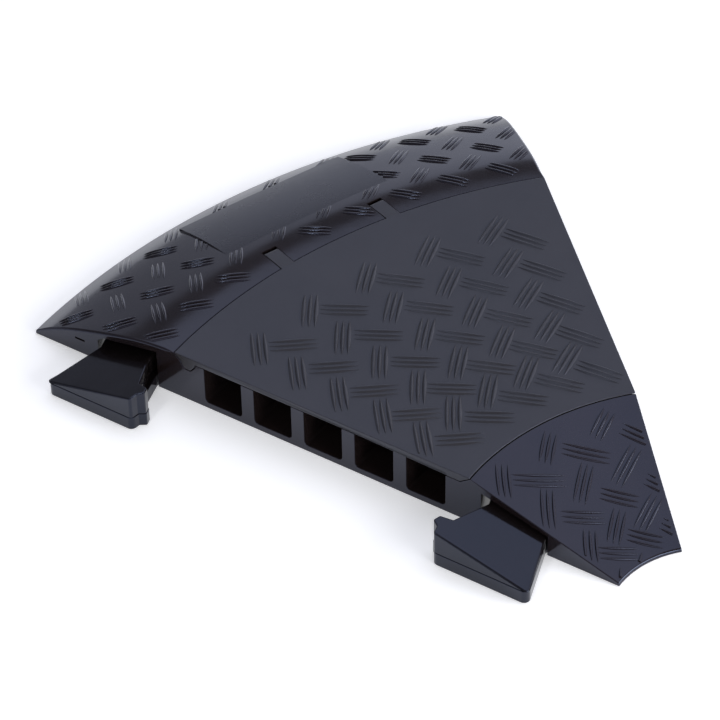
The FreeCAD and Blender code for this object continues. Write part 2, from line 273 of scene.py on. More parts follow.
def arc_through(first, second, third, steps):
    """Points on the arc through three points, both ends included."""
    a, b, c = Vector(first), Vector(second), Vector(third)
    aa, bb, cc = a.length_squared, b.length_squared, c.length_squared
    twice = 2 * (a.x * (b.y - c.y) + b.x * (c.y - a.y) + c.x * (a.y - b.y))
    middle = Vector((
        (aa * (b.y - c.y) + bb * (c.y - a.y) + cc * (a.y - b.y)) / twice,
        (aa * (c.x - b.x) + bb * (a.x - c.x) + cc * (b.x - a.x)) / twice,
    ))
    half = steps // 2
    return arc_between(a, b, middle, half) + arc_between(b, c, middle, steps - half)[1:]


def smooth_curve(knots):
    """A natural cubic spline's height over radius, as a function."""
    r = np.array([k[0] for k in knots])
    z = np.array([k[1] for k in knots])
    gap = np.diff(r)
    count = len(r)
    system = np.eye(count)
    bend = np.zeros(count)
    for i in range(1, count - 1):
        system[i, i - 1:i + 2] = gap[i - 1], 2 * (gap[i - 1] + gap[i]), gap[i]
        bend[i] = 6 * ((z[i + 1] - z[i]) / gap[i] - (z[i] - z[i - 1]) / gap[i - 1])
    second = np.linalg.solve(system, bend)

    def height(radius):
        i = int(np.clip(np.searchsorted(r, radius) - 1, 0, count - 2))
        left, right = (r[i + 1] - radius), (radius - r[i])
        cubic = (second[i] * left ** 3 + second[i + 1] * right ** 3) / (6 * gap[i])
        share_left = z[i] / gap[i] - second[i] * gap[i] / 6
        share_right = z[i + 1] / gap[i] - second[i + 1] * gap[i] / 6
        line = share_left * left + share_right * right
        return float(cubic + line)

    return height


outer_height = smooth_curve(OUTER_RAMP_CURVE)


def inner_height(radius):
    (r1, z1), (r0, z0) = INNER_RAMP_LINE
    return z0 + (z1 - z0) * (radius - r0) / (r1 - r0)


def lid_height(radius):
    return LID_TOP_Z


def inward(outline):
    """For each point of a closed outline, how it moves when the outline shrinks by 1."""
    count = len(outline)
    normals = []
    for i in range(count):
        along = (outline[(i + 1) % count] - outline[i]).normalized()
        normals.append(Vector((-along.y, along.x)))
    return [(normals[i - 1] + normals[i]) / (1 + normals[i - 1].dot(normals[i])) for i in range(count)]


# ---------------------------------------------------------------- meshes

def new_piece(name, points, faces):
    """An object from points in millimetres, with its faces turned outwards."""
    mesh = bpy.data.meshes.new(name)
    mesh.from_pydata([point * MM for point in points], [], faces)
    work = bmesh.new()
    work.from_mesh(mesh)
    bmesh.ops.recalc_face_normals(work, faces=work.faces)
    work.to_mesh(mesh)
    work.free()
    piece = bpy.data.objects.new(name, mesh)
    bpy.context.scene.collection.objects.link(piece)
    return piece


def lofted(name, rings):
    """A closed solid through rings that have the same number of points."""
    count = len(rings[0])
    points = [point for ring in rings for point in ring]
    faces = [list(range(count)), list(range((len(rings) - 1) * count, len(rings) * count))]
    for k in range(len(rings) - 1):
        for i in range(count):
            j = (i + 1) % count
            faces.append([k * count + i, k * count + j, (k + 1) * count + j, (k + 1) * count + i])
    return new_piece(name, points, faces)


def swept(name, outline, end_round):
    """An outline of (radius, z) carried round the bend. end_round(radius, z) rounds the end edges."""
    shrink = inward(outline)
    radii = [end_round(point.x, point.y) for point in outline]

    def end_ring(side, turn):
        ring = []
        for point, step, radius in zip(outline, shrink, radii):
            moved = point + step * radius * (1 - math.sin(turn))
            ring.append(from_end(side, moved.x, -radius * (1 - math.cos(turn)), moved.y))
        return ring

    turns = [math.radians(90 * k / ROUND_STEPS) for k in range(ROUND_STEPS + 1)]
    last = HALF_BEND - FIRST_RING
    angles = [-last + 2 * last * k / (RING_COUNT - 1) for k in range(RING_COUNT)]
    rings = [end_ring(NEAR, turn) for turn in turns]
    rings += [[polar(point.x, angle, point.y) for point in outline] for angle in angles]
    rings += [end_ring(FAR, turn) for turn in reversed(turns)]
    return lofted(name, rings)


def prism(name, outline, z_from, z_to):
    """An upright prism on an outline of plan points."""
    return lofted(name, [[Vector((p.x, p.y, z)) for p in outline] for z in (z_from, z_to)])


def bar_along_x(name, outline, x_from, x_to):
    """A bar along X with an outline of (y, z)."""
    return lofted(name, [[Vector((x, y, z)) for y, z in outline] for x in (x_from, x_to)])


def circle(centre, radius, steps=48):
    turns = [2 * math.pi * k / steps for k in range(steps)]
    return [(centre[0] + radius * math.cos(t), centre[1] + radius * math.sin(t)) for t in turns]


def combine(piece, operation, *others):
    """A boolean with each of the other pieces, which are used up."""
    for other in others:
        modifier = piece.modifiers.new(operation.lower(), "BOOLEAN")
        modifier.operation = operation
        modifier.solver = "EXACT"
        modifier.object = other
        depsgraph = bpy.context.evaluated_depsgraph_get()
        result = bpy.data.meshes.new_from_object(piece.evaluated_get(depsgraph))
        piece.modifiers.clear()
        old = piece.data
        piece.data = result
        bpy.data.meshes.remove(old)
        bpy.data.objects.remove(other)
    return piece


def finish_surface(piece, sharp_angle=SHARP_ANGLE):
    """Smooth shading with crisp corners, where the larger face of each edge stays flat."""
    work = bmesh.new()
    work.from_mesh(piece.data)
    bmesh.ops.remove_doubles(work, verts=work.verts, dist=MERGE_GAP * MM)
    bmesh.ops.dissolve_degenerate(work, edges=work.edges, dist=SLIVER_GAP * MM)
    work.to_mesh(piece.data)
    work.free()
    piece.data.shade_smooth()
    piece.data.set_sharp_from_angle(angle=math.radians(sharp_angle))
    weighted = piece.modifiers.new("weighted_normals", "WEIGHTED_NORMAL")
    weighted.keep_sharp = True
    weighted.weight = 50
    return piece


# ---------------------------------------------------------------- casting

def casting_outline():
    """The whole casting's cross-section, from the inner edge round over both ramps."""
    lip_radii = np.linspace(OUTER_RAMP_CURVE[-1][0], OUTER_RAMP_CURVE[0][0], CURVE_STEPS)
    ramp = [(float(r), outer_height(float(r)), 0) for r in lip_radii]
    ramp[0] = (*ramp[0][:2], OUTER_LIP_FILLET)
    ramp[-1] = (*ramp[-1][:2], SEAM_FILLET)
    corners = [(INNER_EDGE_R, 0, UNDER_FILLET), (OUTER_EDGE_R, 0, UNDER_FILLET)] + ramp + BEAD_GROOVE
    corners.append((BEAD_GROOVE[-1][0] - LEDGE_STEP, LEDGE_Z, LEDGE_FILLET))
    for number in reversed(range(CHANNEL_COUNT)):
        inner = DECK_INNER_R + number * CHANNEL_PITCH
        outer = inner + CHANNEL_WIDTH
        top = LEDGE_Z if number else INNER_SEAT[1]
        corners += [(outer, LEDGE_Z, WALL_FILLET), (outer, FLOOR_Z, ROOT_FILLET),
                    (inner, FLOOR_Z, ROOT_FILLET), (inner, top, WALL_FILLET)]
    corners += [(*INNER_SEAT, INNER_SEAT_FILLET), (*INNER_RAMP_LINE[0], SEAM_FILLET),
                (*INNER_RAMP_LINE[1], INNER_LIP_FILLET)]
    return rounded(corners)


def casting_end_round(radius, z):
    """The ramps' top edges are well rounded at the end faces, and everything else only slightly."""
    def blended(full, distance):
        return END_ROUND + (full - END_ROUND) * min(max(distance / END_BLEND, 0), 1)

    if radius > OUTER_RAMP_CURVE[0][0] and z > OUTER_LIP_Z:
        to_lip = LIP_END_ROUND + (OUTER_EDGE_R - radius) / OUTER_LIP_BLEND
        return min(blended(OUTER_END_ROUND, radius - OUTER_RAMP_CURVE[0][0]), to_lip)
    if radius < INNER_RAMP_LINE[0][0] and z > INNER_LIP_Z:
        to_lip = LIP_END_ROUND + (radius - INNER_EDGE_R) / INNER_LIP_BLEND
        return min(blended(INNER_END_ROUND, INNER_RAMP_LINE[0][0] - radius), to_lip)
    return END_ROUND


def socket_outline(place, depth, hooked):
    """A socket's hollow seen from above: straight flared sides and a room for the hook."""
    back_thin = SOCKET_THIN_SIDE + KEY_THIN_FLARE
    flare, flare_depth = SOCKET_FLARE
    points = [(SOCKET_LID_SIDE, SOCKET_PAST_FACE), (SOCKET_LID_SIDE, 0), (flare, -flare_depth)]
    if hooked:
        points += [(SOCKET_HOOK_SIDE, -flare_depth), (SOCKET_HOOK_SIDE, -SOCKET_HOOK_TO),
                   (SOCKET_BACK, -SOCKET_HOOK_TO)]
    points += [(SOCKET_BACK, -depth), (back_thin, -depth), (SOCKET_THIN_SIDE, 0),
               (SOCKET_THIN_SIDE, SOCKET_PAST_FACE)]
    return [place(*point) for point in points]


def socket_hollow(side, bank, depth, hooked):
    place = key_place(side, bank)
    ceiling = OUTER_CEILING if bank == OUTER else INNER_CEILING
    across = [(ceiling[0][0], -PAST)] + ceiling + [(ceiling[-1][0], -PAST)]
    hollow = prism("socket_hollow", socket_outline(place, depth, hooked), -PAST, LID_TOP_Z)
    ends = [[place(a, out, z) for a, z in across] for out in (SOCKET_PAST_FACE + 1.0, -depth - 1.0)]
    return combine(hollow, "INTERSECT", lofted("socket_ceiling", ends))


def end_slit(side):
    place = key_place(side, OUTER)
    (across, z), (width, height, depth) = SLIT_MID, SLIT_SIZE
    corners = [(across - width / 2, 1.0), (across + width / 2, 1.0),
               (across + width / 2, -depth), (across - width / 2, -depth)]
    return prism("end_slit", [place(*c) for c in corners], z - height / 2, z + height / 2)


def panel_block(name, low, high, margin):
    """A block under or over the panel's surface, which is very nearly straight along X."""
    surface = [tuple(p) for p in arc_through(*PANEL_CURVE, PANEL_STEPS)]
    inner_y, outer_y = surface[0][0] + margin, surface[-1][0] - margin
    surface = [(inner_y, surface[0][1])] + surface[1:-1] + [(outer_y, surface[-1][1])]
    outline = [(y, z + low) for y, z in surface] + [(y, high(z)) for y, z in reversed(surface)]
    half = PANEL_HALF_WIDTH - margin
    rings = []
    for k in range(-PANEL_RINGS, PANEL_RINGS + 1):
        share = k / PANEL_RINGS
        drop = PANEL_CROWN * share ** 2
        rings.append([Vector((half * share, y, z - drop)) for y, z in outline])
    return lofted(name, rings)


def hinge_notch(tab_x):
    """Room for one lid tab: round about the hinge axis below, open above."""
    half = TAB_WIDTH / 2 + TAB_SIDE_GAP
    turns = [math.radians(-180 + 180 * k / NOTCH_STEPS) for k in range(NOTCH_STEPS + 1)]
    below = [(HINGE_Y + NOTCH_R * math.cos(t), HINGE_Z + NOTCH_R * math.sin(t)) for t in turns]
    over = LID_TOP_Z + PAST
    outline = below + [(HINGE_Y + NOTCH_REACH, HINGE_Z), (HINGE_Y + NOTCH_REACH, over),
                       (TAB_ROOT_Y, over), (TAB_ROOT_Y, NOTCH_FLOOR_Z),
                       (HINGE_Y - NOTCH_R, NOTCH_FLOOR_Z)]
    return bar_along_x("hinge_notch", outline, tab_x - half, tab_x + half)


def make_casting():
    casting = swept("base_casting", casting_outline(), casting_end_round)
    pad = panel_block("panel_pad", -PANEL_DEPTH, lambda z: z + PANEL_PAD, PANEL_MARGIN)
    combine(casting, "UNION", pad)
    room = panel_block("panel_room", 0.0, lambda z: LID_TOP_Z + PAST, 0.0)
    combine(casting, "DIFFERENCE", room)
    hollows = [hinge_notch(-TAB_X), hinge_notch(TAB_X), end_slit(NEAR), end_slit(FAR)]
    for bank in (OUTER, INNER):
        hollows.append(socket_hollow(NEAR, bank, KEY_ROOT + SOCKET_GAP, False))
        hollows.append(socket_hollow(FAR, bank, KEY_HEAD + SOCKET_GAP, True))
    combine(casting, "DIFFERENCE", *hollows)
    return finish_surface(casting)


# ---------------------------------------------------------------- lid

def lid_outline():
    edge_z = LID_TOP_Z - LID_EDGE_DEPTH
    corners = [(LID_INNER_R, edge_z, 0)] + LID_FOOT + LID_BEAD
    corners += [(LID_OUTER_R, edge_z, 0), (LID_OUTER_R, LID_TOP_Z, LID_EDGE_FILLET),
                (LID_INNER_R, LID_TOP_Z, LID_EDGE_FILLET)]
    return rounded(corners)


def hinge_tab(tab_x):
    """A flat neck that ends in a barrel about the hinge axis."""
    top = math.degrees(math.atan2(TAB_TOP_END[1] - HINGE_Z, TAB_TOP_END[0] - HINGE_Y))
    under = 180 - math.degrees(math.asin((TAB_UNDERSIDE_Z - HINGE_Z) / BARREL_R))
    sweep = under - 360 - top
    turns = [math.radians(top + sweep * k / BARREL_STEPS) for k in range(BARREL_STEPS + 1)]
    barrel = [(HINGE_Y + BARREL_R * math.cos(t), HINGE_Z + BARREL_R * math.sin(t)) for t in turns]
    neck = [(TAB_ROOT_Y, TAB_UNDERSIDE_Z), (TAB_ROOT_Y, LID_TOP_Z), (TAB_ROOT_TOP_Y, LID_TOP_Z)]
    outline = neck + barrel
    half = TAB_WIDTH / 2
    return bar_along_x("hinge_tab", outline, tab_x - half, tab_x + half)


def make_lid():
    lid = swept("lid_panel", lid_outline(), lambda radius, z: LID_END_ROUND)
    combine(lid, "UNION", hinge_tab(-TAB_X), hinge_tab(TAB_X))
    reach = TAB_WIDTH / 2 + 1.0
    bore = circle((HINGE_Y, HINGE_Z), ROD_HOLE_R)
    for tab_x in (-TAB_X, TAB_X):
        hole = bar_along_x("rod_hole", bore, tab_x - reach, tab_x + reach)
        combine(lid, "DIFFERENCE", hole)
    return finish_surface(lid)


# ---------------------------------------------------------------- connector keys

def key_outline(neck, grow, corner):
    """A key seen from above: hooked head outside the end face, plain root inside. grow is the head's."""
    thin_end = KEY_THIN_SIDE + KEY_THIN_FLARE + grow
    front = KEY_HEAD + grow
    root_thin = KEY_THIN_SIDE + KEY_THIN_FLARE * KEY_ROOT / KEY_HEAD
    corners = [(neck, 0, 0)] + [(across - grow, out, fillet) for across, out, fillet in KEY_HOOK]
    corners += [(KEY_HOOK[-1][0] + KEY_FRONT_STEP - grow, front, corner), (thin_end, front, corner),
                (KEY_THIN_SIDE + grow, 0.0, 0), (KEY_THIN_SIDE, KEY_HEAD_START, 0),
                (root_thin, -KEY_ROOT, KEY_PLATE_CORNER), (KEY_BACK, -KEY_ROOT, KEY_PLATE_CORNER)]
    return rounded(corners, KEY_CORNER_STEPS)


def key_top(across):
    return KEY_THIN_Z + KEY_SLOPE * (KEY_THIN_SIDE + KEY_THIN_FLARE - across)


def make_key(name, side, bank):
    """A flat plate with a smaller wedge on it, and a fine parting line between them."""
    place = key_place(side, bank)
    plate = key_outline(KEY_NECK_PLATE, KEY_STEP, KEY_PLATE_CORNER)
    wedge = key_outline(KEY_NECK_WEDGE, 0.0, KEY_WEDGE_CORNER)
    plate_in = [-step for step in inward(plate)]
    wedge_in = [-step for step in inward(wedge)]

    def level(outline, shrink, inset, z):
        moved = [point + step * inset for point, step in zip(outline, shrink)]
        return [place(p.x, p.y, z) for p in moved]

    def top_ring(turn):
        inset = KEY_TOP_ROUND * (1 - math.cos(turn))
        lower = KEY_TOP_ROUND * (1 - math.sin(turn))
        moved = [point + step * inset for point, step in zip(wedge, wedge_in)]
        return [place(p.x, p.y, key_top(p.x) - lower) for p in moved]

    soft, slight, groove = KEY_EDGE_ROUND, 0.3 * KEY_EDGE_ROUND, KEY_LINE_DEPTH
    plate_levels = [(soft, 0), (slight, slight), (0, soft), (0, KEY_PLATE_Z - soft),
                    (slight, KEY_PLATE_Z - slight), (soft, KEY_PLATE_Z)]
    wedge_levels = [(groove, KEY_PLATE_Z), (groove, KEY_PLATE_Z + KEY_LINE_TOP),
                    (0, KEY_PLATE_Z + KEY_LINE_END)]
    rings = [level(plate, plate_in, inset, z) for inset, z in plate_levels]
    rings += [level(wedge, wedge_in, inset, z) for inset, z in wedge_levels]
    rings += [top_ring(math.radians(90 * k / KEY_ROUND_STEPS)) for k in range(KEY_ROUND_STEPS + 1)]
    return finish_surface(lofted(name, rings))


# ---------------------------------------------------------------- tread

def on_surface(height, x, y):
    """A point on a swept top surface and the surface's upward normal there."""
    radius = math.hypot(x, y + MID_RADIUS)
    slope = height(radius + 0.5) - height(radius - 0.5)
    normal = Vector((-slope * x / radius, -slope * (y + MID_RADIUS) / radius, 1)).normalized()
    return Vector((x, y, height(radius))), normal


def clear_stretch(allowed, middle, along, half):
    """The longest unbroken part of a rib's line, as (from, to), that lies on open surface."""
    best = (0.0, 0.0)
    begin = None
    for k in range(-RIB_TRIALS, RIB_TRIALS + 2):
        here = half * k / RIB_TRIALS
        if k <= RIB_TRIALS and allowed(middle + along * here):
            begin = here if begin is None else begin
            if here - begin > best[1] - best[0]:
                best = (begin, here)
        else:
            begin = None
    return best


def add_rib(points, faces, height, middle, along, size, section, stretch):
    """One lens-shaped rib that follows the surface, with a skirt sunk below it."""
    length, width, rise = size
    side = Vector((-along.y, along.x))
    first = len(points)
    rows = [(section[0][0], None)] + section + [(section[-1][0], None)]
    for k in range(RIB_STATIONS):
        share = k / (RIB_STATIONS - 1)
        s = stretch[0] + (stretch[1] - stretch[0]) * share
        t = min(abs(s) / (length / 2), RIB_TIP)
        half = width / 2 * (1 - t ** 2) ** 0.8
        crest = rise * (1 - t ** 2.6) ** 0.7
        for across, share_up in rows:
            spot = middle + along * s + side * (half * across)
            base, normal = on_surface(height, spot.x, spot.y)
            up = -RIB_SKIRT if share_up is None else crest * share_up
            points.append(base + normal * up)
    count = len(rows)
    for k in range(RIB_STATIONS - 1):
        for i in range(count):
            j = (i + 1) % count
            a, b = first + k * count, first + (k + 1) * count
            faces.append([a + i, a + j, b + j, b + i])
    faces.append([first + i for i in range(count)])
    faces.append([first + (RIB_STATIONS - 1) * count + i for i in range(count)])


def make_tread(name, rows, height, allowed, rib_size, section):
    """All the ribs of one surface, each row an arc of groups about the bend centre."""
    points, faces = [], []
    width, rise, spacing = rib_size
    for radius, lean, first_angle, pitch, groups, first_length, last_length in rows:
        for number in range(groups):
            length = first_length + (last_length - first_length) * number / (groups - 1)
            angle = first_angle + number * pitch
            centre = polar(radius, angle)
            turn = math.radians(lean - angle)
            along = Vector((math.cos(turn), math.sin(turn)))
            side = Vector((-along.y, along.x))
            for rib in range(RIBS_IN_GROUP):
                offset = (rib - (RIBS_IN_GROUP - 1) / 2) * spacing
                middle = Vector((centre.x, centre.y)) + side * offset
                stretch = clear_stretch(allowed, middle, along, length / 2 * RIB_TIP)
                if stretch[1] - stretch[0] > SHORTEST_RIB:
                    size = (length, width, rise)
                    add_rib(points, faces, height, middle, along, size, section, stretch)
    return finish_surface(new_piece(name, points, faces), TREAD_SHARP_ANGLE)


def past_end(spot):
    """How far a plan point lies inside the nearer end face."""
    sine = math.sin(math.radians(HALF_BEND))
    cosine = math.cos(math.radians(HALF_BEND))
    return -max(spot.x * side * cosine - (spot.y + MID_RADIUS) * sine for side in (NEAR, FAR))


def clear_on(low_r, high_r):
    def allowed(spot):
        radius = math.hypot(spot.x, spot.y + MID_RADIUS)
        return low_r < radius < high_r and past_end(spot) > END_MARGIN
    return allowed


def clear_on_outer_ramp(spot):
    seam_r = OUTER_RAMP_CURVE[0][0] + OUTER_SEAM_MARGIN
    inside_ramp = clear_on(seam_r, OUTER_EDGE_R - LIP_MARGIN)(spot)
    margin = PANEL_MARGIN_OUTSIDE
    on_panel = (abs(spot.x) < PANEL_HALF_WIDTH + margin
                and PANEL_CURVE[0][0] - margin < spot.y < PANEL_CURVE[-1][0] + margin)
    at_tab = (abs(abs(spot.x) - TAB_X) < TAB_WIDTH / 2 + TAB_SIDE_MARGIN
              and spot.y < HINGE_Y + NOTCH_REACH + TAB_TIP_MARGIN)
    return inside_ramp and not on_panel and not at_tab


# ---------------------------------------------------------------- shader helpers

def shader_group(name, inputs, outputs):
    """An empty node group. Inputs are {name: (kind, value)}, outputs {name: kind}."""
    group = bpy.data.node_groups.new(name, "ShaderNodeTree")
    for label, (kind, value) in inputs.items():
        socket = group.interface.new_socket(name=label, in_out="INPUT", socket_type=kind)
        socket.default_value = value
    for label, kind in outputs.items():
        group.interface.new_socket(name=label, in_out="OUTPUT", socket_type=kind)
    return group, Shader(group)


class Shader:
    """Short ways to add and join nodes in one tree."""

    def __init__(self, tree):
        self.tree = tree

    def add(self, kind, values=None, **settings):
        node = self.tree.nodes.new(kind)
        for key, value in settings.items():
            setattr(node, key, value)
        for key, value in (values or {}).items():
            self.feed(node.inputs[key], value)
        return node

    def feed(self, socket, value):
        if isinstance(value, bpy.types.NodeSocket):
            self.tree.links.new(value, socket)
        else:
            socket.default_value = value

    def math(self, operation, first, second=0.0, third=0.0):
        return self.add("ShaderNodeMath", {0: first, 1: second, 2: third}, operation=operation).outputs[0]

    def dot(self, vector, axis):
        node = self.add("ShaderNodeVectorMath", {0: vector, 1: axis}, operation="DOT_PRODUCT")
        return node.outputs["Value"]

    def noise(self, vector, scale, detail=3.0, roughness=0.5):
        node = self.add("ShaderNodeTexNoise", {"Vector": vector, "Scale": scale, "Detail": detail,
                                               "Roughness": roughness})
        return node.outputs["Fac"]

    def spread(self, value, low, high, to_low=0.0, to_high=1.0):
        node = self.add("ShaderNodeMapRange", {"Value": value, "From Min": low, "From Max": high,
                                               "To Min": to_low, "To Max": to_high})
        return node.outputs["Result"]

    def mix_colour(self, factor, first, second):
        node = self.add("ShaderNodeMix", data_type="RGBA")
        self.feed(node.inputs[0], factor)
        self.feed(node.inputs[6], first)
        self.feed(node.inputs[7], second)
        return node.outputs[2]

    def group(self, group, **values):
        node = self.add("ShaderNodeGroup")
        node.node_tree = group
        for key, value in values.items():
            self.feed(node.inputs[key.replace("_", " ")], value)
        return node.outputs


FLOAT, COLOUR = "NodeSocketFloat", "NodeSocketColor"


def cloudy_tone_group():
    """Slow, soft changes of tone over a casting, and a little fine speckle."""
    group, s = shader_group("cloudy_tone",
                            {"Dark": (COLOUR, (0, 0, 0, 1)), "Light": (COLOUR, (1, 1, 1, 1)),
                             "Cloud": (FLOAT, 18.0), "Speckle": (FLOAT, 900.0)},
                            {"Colour": COLOUR})
    inside = s.add("NodeGroupInput").outputs
    place = s.add("ShaderNodeTexCoord").outputs["Object"]
    clouds = s.spread(s.noise(place, inside["Cloud"], 4.0, 0.55), 0.3, 0.7)
    speckle = s.spread(s.noise(place, inside["Speckle"], 2.0, 0.6), 0.35, 0.75, -0.15, 0.25)
    factor = s.add("ShaderNodeMath", {0: clouds, 1: speckle}, operation="ADD", use_clamp=True).outputs[0]
    result = s.add("NodeGroupOutput")
    s.feed(result.inputs["Colour"], s.mix_colour(factor, inside["Dark"], inside["Light"]))
    return group


def handling_group():
    """Uneven polish: smudges and hair-fine rub marks, as a number that changes over the surface."""
    group, s = shader_group("handling_marks",
                            {"Smooth": (FLOAT, 0.2), "Rough": (FLOAT, 0.35), "Rubs": (FLOAT, 0.1)},
                            {"Roughness": FLOAT, "Rub": FLOAT})
    inside = s.add("NodeGroupInput").outputs
    place = s.add("ShaderNodeTexCoord").outputs["Object"]
    smudge = s.spread(s.noise(place, 26.0, 5.0, 0.6), 0.32, 0.72)
    rubs = []
    for turn, scale in ((24.0, 60.0), (-47.0, 75.0), (83.0, 50.0)):
        mapping = s.add("ShaderNodeMapping", {"Vector": place, "Rotation": (0, 0, math.radians(turn)),
                                              "Scale": (1.0, 26.0, 1.0)})
        streak = s.noise(mapping.outputs[0], scale, 1.0, 0.4)
        rubs.append(s.spread(streak, 0.69, 0.76))
    patches = s.spread(s.noise(place, 9.0, 2.0), 0.45, 0.7)
    lines = s.math("MAXIMUM", s.math("MAXIMUM", rubs[0], rubs[1]), rubs[2])
    lines = s.math("MULTIPLY", lines, patches)
    gap = s.math("SUBTRACT", inside["Rough"], inside["Smooth"])
    polish = s.math("MULTIPLY_ADD", gap, smudge, inside["Smooth"])
    result = s.add("NodeGroupOutput")
    s.feed(result.inputs["Roughness"], s.math("MULTIPLY_ADD", lines, inside["Rubs"], polish))
    s.feed(result.inputs["Rub"], lines)
    return group


def moulded_skin_group():
    """The height of a moulded skin: a slow ripple, a fine pebble and tiny pits."""
    group, s = shader_group("moulded_skin",
                            {"Ripple": (FLOAT, 90.0), "Pebble": (FLOAT, 600.0),
                             "Ripple Share": (FLOAT, 0.5), "Pebble Share": (FLOAT, 0.5)},
                            {"Height": FLOAT})
    inside = s.add("NodeGroupInput").outputs
    place = s.add("ShaderNodeTexCoord").outputs["Object"]
    ripple = s.math("MULTIPLY", s.noise(place, inside["Ripple"], 2.0), inside["Ripple Share"])
    pebble = s.math("MULTIPLY", s.noise(place, inside["Pebble"], 3.0, 0.6), inside["Pebble Share"])
    result = s.add("NodeGroupOutput")
    s.feed(result.inputs["Height"], s.math("ADD", ripple, pebble))
    return group


def settled_dust_group():
    """Pale dust that lies in patches on upward faces, as a mask."""
    group, s = shader_group("settled_dust", {"Amount": (FLOAT, 0.1)}, {"Mask": FLOAT})
    inside = s.add("NodeGroupInput").outputs
    place = s.add("ShaderNodeTexCoord").outputs["Object"]
    up = s.add("ShaderNodeSeparateXYZ", {0: s.add("ShaderNodeNewGeometry").outputs["Normal"]}).outputs["Z"]
    facing = s.spread(up, 0.5, 1.0)
    specks = s.spread(s.noise(place, 1500.0, 1.0, 0.5), 0.66, 0.78)
    patches = s.spread(s.noise(place, 14.0, 3.0), 0.4, 0.75)
    mask = s.math("MULTIPLY", s.math("MULTIPLY", specks, patches), facing)
    result = s.add("NodeGroupOutput")
    s.feed(result.inputs["Mask"], s.math("MULTIPLY", mask, inside["Amount"]))
    return group


def new_material(name, roughness=0.5, specular=0.5, tint=(1, 1, 1, 1)):
    material = bpy.data.materials.new(name)
    material.use_nodes = True
    shader = material.node_tree.nodes["Principled BSDF"]
    shader.inputs["Roughness"].default_value = roughness
    shader.inputs["Specular IOR Level"].default_value = specular
    shader.inputs["Specular Tint"].default_value = tint
    return material, Shader(material.node_tree), shader


# ---------------------------------------------------------------- materials

DUST_COLOUR = (0.35, 0.34, 0.32, 1)
COOL_TINT = (0.56, 0.68, 1.0, 1)

# polish is (smooth, rough, rubs). skin is (ripple, pebble, share of each, depth in millimetres).
FINISHES = {
    "casting": {
        "name": "glossy_black_casting",
        "dark": (0.0120, 0.0080, 0.0076, 1),
        "light": (0.0165, 0.0112, 0.0108, 1),
        "polish": (0.11, 0.17, 0.03),
        "skin": (70.0, 700.0, 0.9, 0.25, 0.05),
        "dust": 0.05,
        "specular": 0.55,
    },
    "panel": {
        "name": "satin_black_panel",
        "dark": (0.0110, 0.0085, 0.0085, 1),
        "light": (0.0155, 0.0120, 0.0120, 1),
        "polish": (0.24, 0.30, 0.03),
        "skin": (60.0, 1100.0, 0.3, 0.4, 0.012),
        "dust": 0.03,
        "specular": 0.6,
    },
    "lid": {
        "name": "grained_black_lid",
        "dark": (0.0280, 0.0250, 0.0242, 1),
        "light": (0.0335, 0.0300, 0.0292, 1),
        "polish": (0.35, 0.42, 0.03),
        "skin": (120.0, 1500.0, 0.3, 0.8, 0.08),
        "dust": 0.06,
        "specular": 0.5,
    },
    "key": {
        "name": "satin_black_key",
        "dark": (0.0060, 0.0045, 0.0046, 1),
        "light": (0.0090, 0.0068, 0.0070, 1),
        "polish": (0.10, 0.16, 0.03),
        "skin": (80.0, 800.0, 0.6, 0.3, 0.05),
        "dust": 0.04,
        "specular": 0.5,
    },
}
DARK_FIBRE = (0.40, 0.34, 0.21, 1)
PALE_FIBRE = (0.62, 0.56, 0.40, 1)


def black_finish(groups, name, dark, light, polish, skin, dust, specular):
    """A black moulded surface, with the values of one of the finishes."""
    material, s, shader = new_material(name, specular=specular, tint=COOL_TINT)
    smooth, rough, rubs = polish
    ripple, pebble, ripple_share, pebble_share, depth = skin
    tone = s.group(groups["tone"], Dark=dark, Light=light)["Colour"]
    marks = s.group(groups["marks"], Smooth=smooth, Rough=rough, Rubs=rubs)
    mask = s.group(groups["dust"], Amount=dust)["Mask"]
    height = s.group(groups["skin"], Ripple=ripple, Pebble=pebble, Ripple_Share=ripple_share,
                     Pebble_Share=pebble_share)["Height"]
    bump = s.add("ShaderNodeBump", {"Height": height, "Strength": 1.0, "Distance": depth * MM})
    s.feed(shader.inputs["Base Color"], s.mix_colour(mask, tone, DUST_COLOUR))
    s.feed(shader.inputs["Roughness"], marks["Roughness"])
    s.feed(shader.inputs["Normal"], bump.outputs["Normal"])
    return material


def rod_finish():
    """Pultruded glass fibre: pale straw, with fibres along the rod."""
    material, s, shader = new_material("straw_fibreglass", specular=0.5)
    place = s.add("ShaderNodeTexCoord").outputs["Object"]
    along = s.add("ShaderNodeMapping", {"Vector": place, "Scale": (12.0, 900.0, 900.0)}).outputs[0]
    fibres = s.noise(along, 2.0, 3.0, 0.6)
    colour = s.mix_colour(s.spread(fibres, 0.35, 0.7), DARK_FIBRE, PALE_FIBRE)
    bump = s.add("ShaderNodeBump", {"Height": fibres, "Strength": 0.6, "Distance": 0.05 * MM})
    s.feed(shader.inputs["Base Color"], colour)
    s.feed(shader.inputs["Roughness"], s.spread(fibres, 0.3, 0.7, 0.28, 0.45))
    s.feed(shader.inputs["Normal"], bump.outputs["Normal"])
    return material


def make_materials():
    groups = {
        "tone": cloudy_tone_group(),
        "marks": handling_group(),
        "skin": moulded_skin_group(),
        "dust": settled_dust_group(),
    }
    made = {part: black_finish(groups, **finish) for part, finish in FINISHES.items()}
    made["rod"] = rod_finish()
    return made


